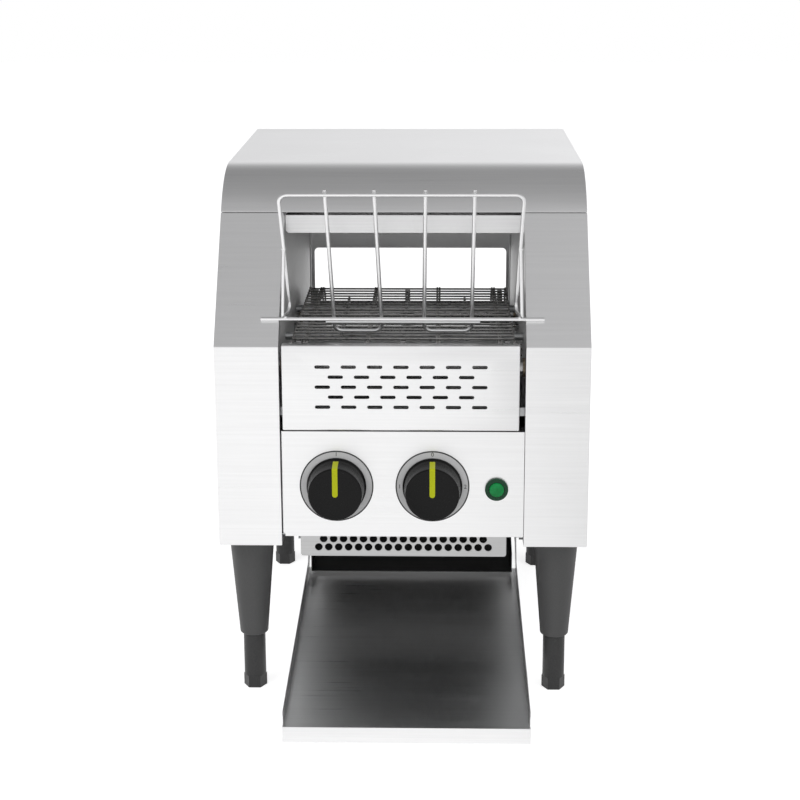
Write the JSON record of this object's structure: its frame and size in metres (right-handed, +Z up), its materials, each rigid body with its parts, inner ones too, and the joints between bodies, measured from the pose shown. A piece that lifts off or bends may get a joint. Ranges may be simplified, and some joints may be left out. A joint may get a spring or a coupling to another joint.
{
  "type": "conveyor toaster",
  "caption": "Narrow countertop conveyor toaster with a wire belt between two towers, a wire feed rack, two knobs, a bent chute, a catch tray and four levelling legs.",
  "frame": {"origin": "centre of the footprint's bounding box, on the table", "axes": "+Z up, +Y from the front to the back, +X to the right seen from the front"},
  "size_m": [0.288, 0.427, 0.4185],
  "materials": {
    "stainless": "brushed",
    "chamber_steel": "polished",
    "bright_sheet": "satin",
    "plated_steel": "zinc plated",
    "belt_wire": "heat darkened",
    "shaft_steel": "ground",
    "wheel_steel": "plain",
    "chain_steel": "oiled",
    "bronze": "sintered",
    "cast_zinc": "cast",
    "quartz": "clear",
    "filament": "oxidised coil",
    "ceramic": "matte ceramic",
    "dial_print": "printed",
    "black_plastic": "semi-gloss",
    "pointer_yellow": "satin",
    "grey_plastic": "moulded",
    "dark_plastic": "moulded",
    "white_plastic": "moulded",
    "bezel_green": "gloss",
    "lens_green": "clear",
    "board_green": "laminate",
    "chrome_wire": "chromed",
    "leg_plastic": "moulded",
    "foot_plastic": "moulded"
  },
  "bodies": {
    "housing": {"left_side_housing": "stainless", "right_side_housing": "stainless", "left_inner_wall": "chamber_steel", "right_inner_wall": "chamber_steel", "top_cover": "stainless", "rear_panel": "stainless", "slotted_front_guard": "stainless", "control_panel": "stainless", "perforated_air_guard": "stainless", "base_plates": "plated_steel", "control_box": "plated_steel", "heat_shield": "plated_steel", "upper_reflector": "bright_sheet", "lower_reflector": "bright_sheet", "conveyor_belt": "belt_wire", "belt_support": "plated_steel", "shaft_bushes": "bronze", "drive_chain": "chain_steel", "gearbox": "cast_zinc", "drive_motor": "plated_steel", "motor_bracket": "plated_steel", "quartz_tubes": "quartz", "heater_filaments": "filament", "heater_caps": "ceramic", "dial_plates": "dial_print", "speed_potentiometer": "plated_steel", "mode_switch": "grey_plastic", "pilot_bezel": "bezel_green", "pilot_lens": "lens_green", "control_board": "board_green", "board_standoffs": "bronze", "board_components": "dark_plastic", "fan_frame": "dark_plastic", "terminal_block": "white_plastic", "discharge_chute": "chamber_steel", "tray_hangers": "plated_steel", "legs": "leg_plastic", "leg_bolts": "plated_steel", "pan_head_screws": "plated_steel", "cable_gland": "dark_plastic"},
    "speed_control": {"speed_knob": "black_plastic", "speed_pointer": "pointer_yellow", "speed_spindle": "shaft_steel"},
    "mode_control": {"mode_knob": "black_plastic", "mode_pointer": "pointer_yellow", "mode_spindle": "shaft_steel"},
    "drive_axle": {"drive_shaft": "shaft_steel", "drive_wheels": "wheel_steel", "shaft_sprocket": "wheel_steel"},
    "idler_axle": {"idler_shaft": "shaft_steel", "idler_wheels": "wheel_steel"},
    "motor_output": {"motor_output_shaft": "shaft_steel", "motor_sprocket": "wheel_steel"},
    "cooling_fan": {"fan_rotor": "dark_plastic"},
    "bread_rack": {"feed_rack": "chrome_wire"},
    "catch_tray": {"discharge_tray": "stainless"},
    "front_left_leveller": {"front_left_foot": "foot_plastic"},
    "front_right_leveller": {"front_right_foot": "foot_plastic"},
    "rear_left_leveller": {"rear_left_foot": "foot_plastic"},
    "rear_right_leveller": {"rear_right_foot": "foot_plastic"}
  },
  "joints": [
    {"name": "speed_turn", "type": "hinge", "parent": "housing", "child": "speed_control", "pos_m": [-0.0512, -0.1405, 0.1831], "axis": [0, 1, 0], "range_deg": [-135, 135]},
    {"name": "mode_turn", "type": "hinge", "parent": "housing", "child": "mode_control", "pos_m": [0.0233, -0.1405, 0.1831], "axis": [0, 1, 0], "range_deg": [-90, 90]},
    {"name": "drive_spin", "type": "hinge", "parent": "housing", "child": "drive_axle", "pos_m": [0, 0.07682, 0.26978], "axis": [-1, 0, 0], "continuous": true},
    {"name": "idler_spin", "type": "hinge", "parent": "housing", "child": "idler_axle", "pos_m": [0, -0.10678, 0.26978], "axis": [-1, 0, 0], "continuous": true},
    {"name": "motor_spin", "type": "hinge", "parent": "housing", "child": "motor_output", "pos_m": [0.1026, 0.07682, 0.19334], "axis": [-1, 0, 0], "continuous": true},
    {"name": "fan_spin", "type": "hinge", "parent": "housing", "child": "cooling_fan", "pos_m": [0.044, -0.0425, 0.1425], "axis": [0, 0, 1], "continuous": true},
    {"name": "rack_lift", "type": "slide", "parent": "housing", "child": "bread_rack", "axis": [0, 0, 1], "range_m": [0, 0.06]},
    {"name": "tray_slide", "type": "slide", "parent": "housing", "child": "catch_tray", "axis": [0, -1, 0], "range_m": [0, 0.06]},
    {"name": "front_left_foot_height", "type": "slide", "parent": "housing", "child": "front_left_leveller", "axis": [0, 0, 1], "range_m": [-0.005, 0.018]},
    {"name": "front_right_foot_height", "type": "slide", "parent": "housing", "child": "front_right_leveller", "axis": [0, 0, 1], "range_m": [-0.005, 0.018]},
    {"name": "rear_left_foot_height", "type": "slide", "parent": "housing", "child": "rear_left_leveller", "axis": [0, 0, 1], "range_m": [-0.005, 0.018]},
    {"name": "rear_right_foot_height", "type": "slide", "parent": "housing", "child": "rear_right_leveller", "axis": [0, 0, 1], "range_m": [-0.005, 0.018]}
  ],
  "couplings": [
    {"joint": "idler_spin", "follows": "drive_spin", "ratio": 1},
    {"joint": "motor_spin", "follows": "drive_spin", "ratio": 1.5}
  ]
}
